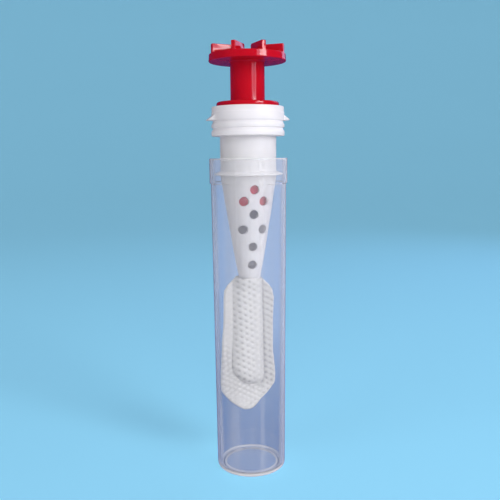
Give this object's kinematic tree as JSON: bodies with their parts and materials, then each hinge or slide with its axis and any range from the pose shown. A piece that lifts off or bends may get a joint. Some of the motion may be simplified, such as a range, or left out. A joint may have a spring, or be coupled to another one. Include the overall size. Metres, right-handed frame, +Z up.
{
  "type": "specimen swab tube",
  "caption": "Clear flat-based specimen tube with a white ribbed swab holder, a cloth-covered tongue and a red winged plug.",
  "frame": {"origin": "centre of the tube's flat base", "axes": "+Z up along the tube; the head's two lugs point along +X and -X, and the swab's two faces look along -Y and +Y"},
  "size_m": [0.026, 0.0252, 0.1384],
  "materials": {
    "clear_plastic": "clear injection-moulded polystyrene, polished",
    "white_plastic": "white injection-moulded polyethylene, satin",
    "knitted_cloth": "undyed polyester knit, bright matt",
    "red_plastic": "red injection-moulded polypropylene, glossy"
  },
  "bodies": {
    "tube": {"tube": "clear_plastic"},
    "holder": {"swab_holder": "white_plastic", "swab_front_cloth": "knitted_cloth", "swab_back_cloth": "knitted_cloth"},
    "plug": {"winged_plug": "red_plastic"}
  },
  "joints": [
    {"name": "holder_slide", "type": "slide", "parent": "tube", "child": "holder", "axis": [0, 0, 1], "range_m": [-0.0118, 0.09]},
    {"name": "plug_slide", "type": "slide", "parent": "holder", "child": "plug", "axis": [0, 0, 1], "range_m": [0, 0.034]}
  ]
}
